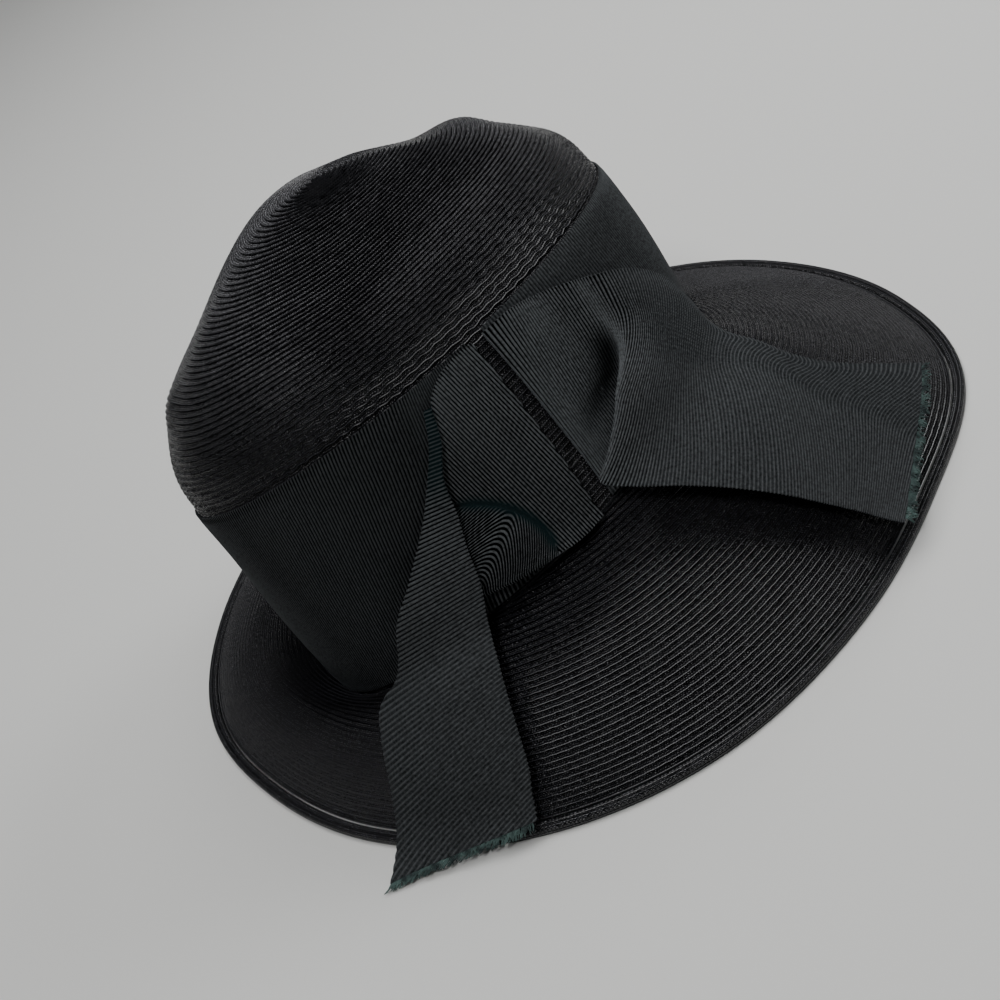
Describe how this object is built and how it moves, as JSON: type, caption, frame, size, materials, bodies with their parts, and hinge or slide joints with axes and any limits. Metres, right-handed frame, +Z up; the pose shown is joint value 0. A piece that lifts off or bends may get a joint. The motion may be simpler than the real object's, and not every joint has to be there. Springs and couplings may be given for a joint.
{
  "type": "cloche hat",
  "caption": "Braided straw cloche with a rounded crown, a turned-down bell brim, a wide ribbed ribbon and a flat open bow with two hanging tails.",
  "frame": {"origin": "the surface that the hat rests on, under the middle of the rim's outline", "axes": "+X toward the hat's front, where the brim is widest, +Z up, -Y toward the side with the bow"},
  "size_m": [0.3126, 0.2946, 0.1629],
  "materials": {
    "straw": "glossy lacquered straw braid, near black",
    "grosgrain": "matt cross-ribbed ribbon, faded black with a green-grey cast"
  },
  "bodies": {
    "root": {"crown": "straw", "brim": "straw", "rim_edge": "straw", "ribbon_band": "grosgrain", "bow_left_loop": "grosgrain", "bow_left_tail": "grosgrain", "bow_right": "grosgrain"}
  },
  "joints": []
}
